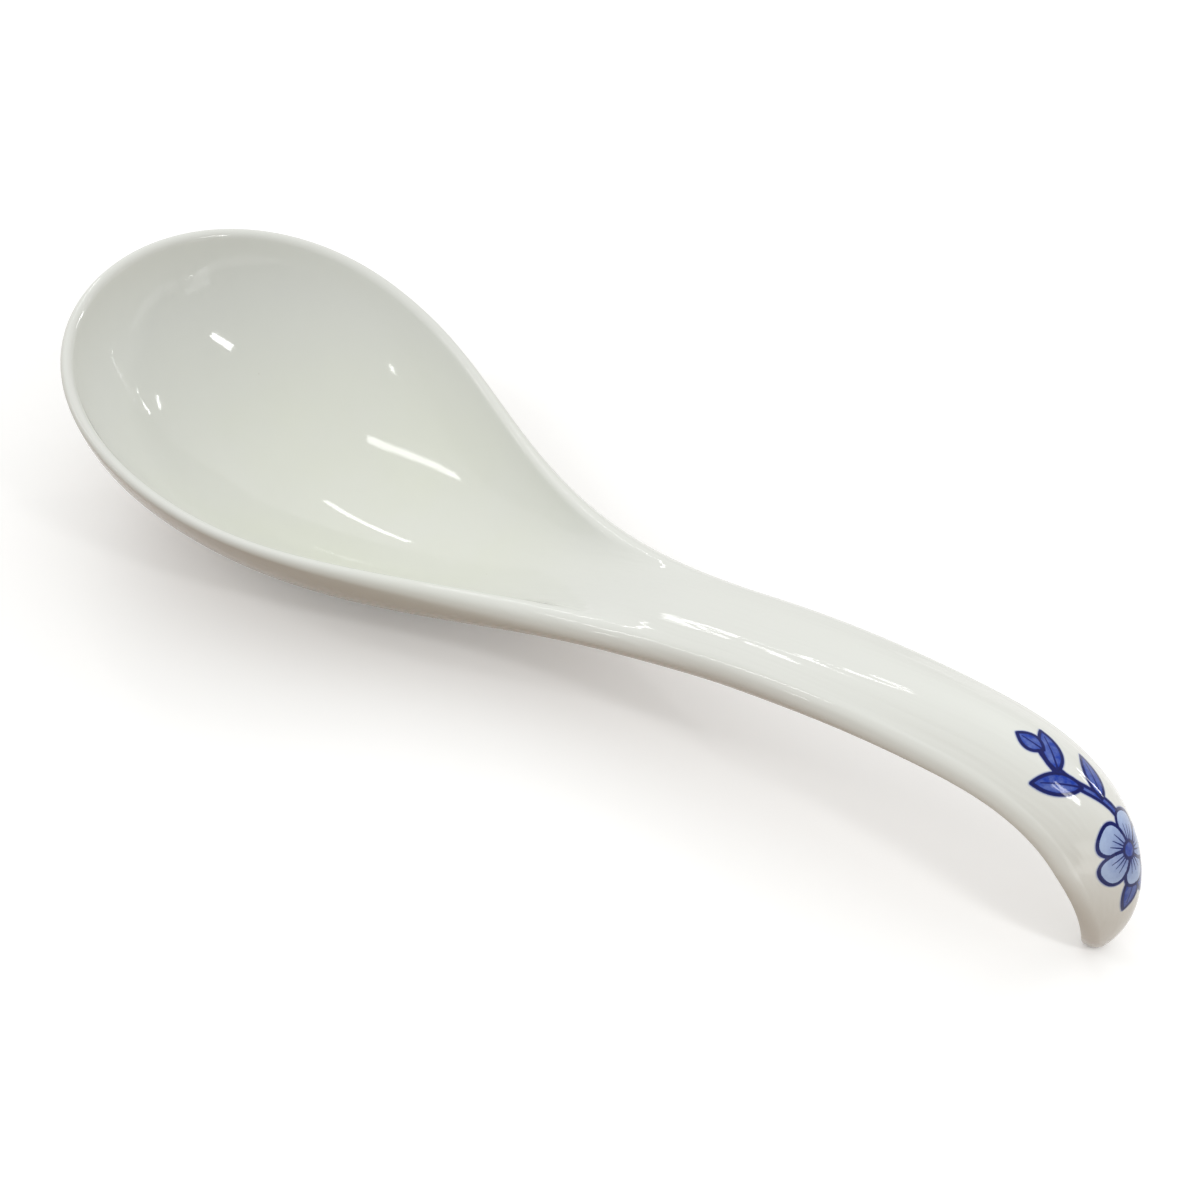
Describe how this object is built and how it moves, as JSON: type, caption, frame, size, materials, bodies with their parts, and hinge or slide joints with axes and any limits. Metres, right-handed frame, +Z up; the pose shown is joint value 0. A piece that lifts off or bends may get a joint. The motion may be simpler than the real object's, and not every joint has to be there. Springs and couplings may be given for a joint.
{
  "type": "porcelain soup spoon",
  "caption": "Glazed porcelain soup spoon with a deep oval bowl and an arched handle that hooks down at a blue printed end.",
  "frame": {"origin": "middle of the flat foot under the bowl", "axes": "+X along the spoon to the tip of its handle, +Y across it, +Z up from the table"},
  "size_m": [0.2225, 0.072, 0.0404],
  "materials": {
    "bare_porcelain": "matt, unglazed",
    "glaze": "glossy, off-white",
    "cobalt_blue": "glossy"
  },
  "bodies": {
    "root": {"porcelain_body": "bare_porcelain", "glaze_coat": "glaze", "blue_decoration": "cobalt_blue"}
  },
  "joints": []
}
